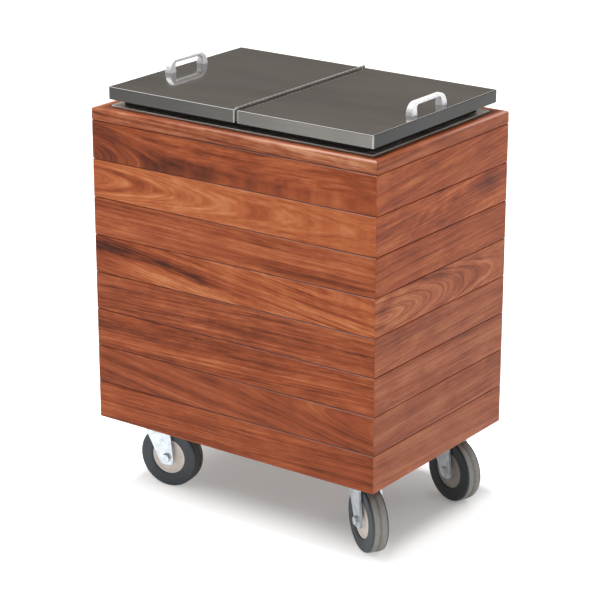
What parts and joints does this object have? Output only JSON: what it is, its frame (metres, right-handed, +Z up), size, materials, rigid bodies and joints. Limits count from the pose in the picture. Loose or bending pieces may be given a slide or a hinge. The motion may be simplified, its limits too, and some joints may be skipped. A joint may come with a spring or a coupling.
{
  "type": "ice cart",
  "caption": "Wheeled hardwood-clad ice cart: insulated steel bin under centre-hinged steel lids with pull handles, on swivel casters, with a drain valve below.",
  "frame": {"origin": "on the floor, under the middle of the wooden box", "axes": "+X to the right along the long front face, +Y to the back, +Z up"},
  "size_m": [0.7532, 0.483, 0.9151],
  "materials": {
    "oiled_hardwood": "satin",
    "softwood": "matte",
    "plywood": "matte",
    "stainless": "satin",
    "polished_aluminium": "polished",
    "foam": "matte",
    "black_rubber": "matte",
    "zinc": "satin",
    "brass": "satin",
    "hub_plastic": "matte",
    "grey_rubber": "matte"
  },
  "bodies": {
    "cart": {"front_boards": "oiled_hardwood", "right_boards": "oiled_hardwood", "back_boards": "oiled_hardwood", "left_boards": "oiled_hardwood", "top_frame": "oiled_hardwood", "corner_posts": "softwood", "base_panel": "plywood", "ice_bin": "stainless", "bin_foam": "foam", "lid_seal": "black_rubber", "caster_screws": "zinc", "drain_cup": "stainless", "drain_nut": "brass", "valve_body": "brass", "front_left_plate": "zinc", "front_left_race": "zinc", "front_left_kingpin": "zinc", "front_right_plate": "zinc", "front_right_race": "zinc", "front_right_kingpin": "zinc", "rear_right_plate": "zinc", "rear_right_race": "zinc", "rear_right_kingpin": "zinc", "rear_left_plate": "zinc", "rear_left_race": "zinc", "rear_left_kingpin": "zinc"},
    "left_lid": {"left_lid_pan": "stainless", "left_lid_core": "foam", "left_lid_liner": "stainless", "left_handle": "polished_aluminium", "left_handle_screws": "zinc", "left_hinge_leaf": "stainless"},
    "right_lid": {"right_lid_pan": "stainless", "right_lid_core": "foam", "right_lid_liner": "stainless", "right_handle": "polished_aluminium", "right_handle_screws": "zinc", "right_hinge_leaf": "stainless", "hinge_pin": "stainless"},
    "front_left_caster": {"front_left_fork": "zinc", "front_left_axle": "zinc"},
    "front_left_wheel": {"front_left_hub": "hub_plastic", "front_left_tyre": "grey_rubber"},
    "front_right_caster": {"front_right_fork": "zinc", "front_right_axle": "zinc"},
    "front_right_wheel": {"front_right_hub": "hub_plastic", "front_right_tyre": "grey_rubber"},
    "rear_right_caster": {"rear_right_fork": "zinc", "rear_right_axle": "zinc"},
    "rear_right_wheel": {"rear_right_hub": "hub_plastic", "rear_right_tyre": "grey_rubber"},
    "rear_left_caster": {"rear_left_fork": "zinc", "rear_left_axle": "zinc"},
    "rear_left_wheel": {"rear_left_hub": "hub_plastic", "rear_left_tyre": "grey_rubber"},
    "drain_lever": {"valve_lever": "zinc", "valve_stem": "zinc"}
  },
  "joints": [
    {"name": "left_lid_hinge", "type": "hinge", "parent": "cart", "child": "left_lid", "pos_m": [0.0045, 0.0025, 0.8908], "axis": [0, 1, 0], "range_deg": [0, 169]},
    {"name": "right_lid_hinge", "type": "hinge", "parent": "cart", "child": "right_lid", "pos_m": [0.0045, 0.0025, 0.8908], "axis": [0, 1, 0], "range_deg": [-169, 0]},
    {"name": "drain_lever_turn", "type": "hinge", "parent": "cart", "child": "drain_lever", "pos_m": [0, 0.06, 0.1362], "axis": [0, 1, 0], "range_deg": [0, 90]},
    {"name": "front_left_swivel", "type": "hinge", "parent": "cart", "child": "front_left_caster", "pos_m": [-0.27, -0.1555, 0.1772], "axis": [0, 0, 1], "continuous": true},
    {"name": "front_left_roll", "type": "hinge", "parent": "front_left_caster", "child": "front_left_wheel", "pos_m": [-0.23243, -0.14982, 0.069], "axis": [-0.1495, 0.9888, 0], "continuous": true},
    {"name": "front_right_swivel", "type": "hinge", "parent": "cart", "child": "front_right_caster", "pos_m": [0.27, -0.1555, 0.1772], "axis": [0, 0, 1], "continuous": true},
    {"name": "front_right_roll", "type": "hinge", "parent": "front_right_caster", "child": "front_right_wheel", "pos_m": [0.30176, -0.17636, 0.069], "axis": [0.549, 0.8358, 0], "continuous": true},
    {"name": "rear_right_swivel", "type": "hinge", "parent": "cart", "child": "rear_right_caster", "pos_m": [0.27, 0.1555, 0.1772], "axis": [0, 0, 1], "continuous": true},
    {"name": "rear_right_roll", "type": "hinge", "parent": "rear_right_caster", "child": "rear_right_wheel", "pos_m": [0.30597, 0.14325, 0.069], "axis": [0.3223, 0.9466, 0], "continuous": true},
    {"name": "rear_left_swivel", "type": "hinge", "parent": "cart", "child": "rear_left_caster", "pos_m": [-0.27, 0.1555, 0.1772], "axis": [0, 0, 1], "continuous": true},
    {"name": "rear_left_roll", "type": "hinge", "parent": "rear_left_caster", "child": "rear_left_wheel", "pos_m": [-0.30722, 0.16314, 0.069], "axis": [-0.2011, -0.9796, 0], "continuous": true}
  ]
}
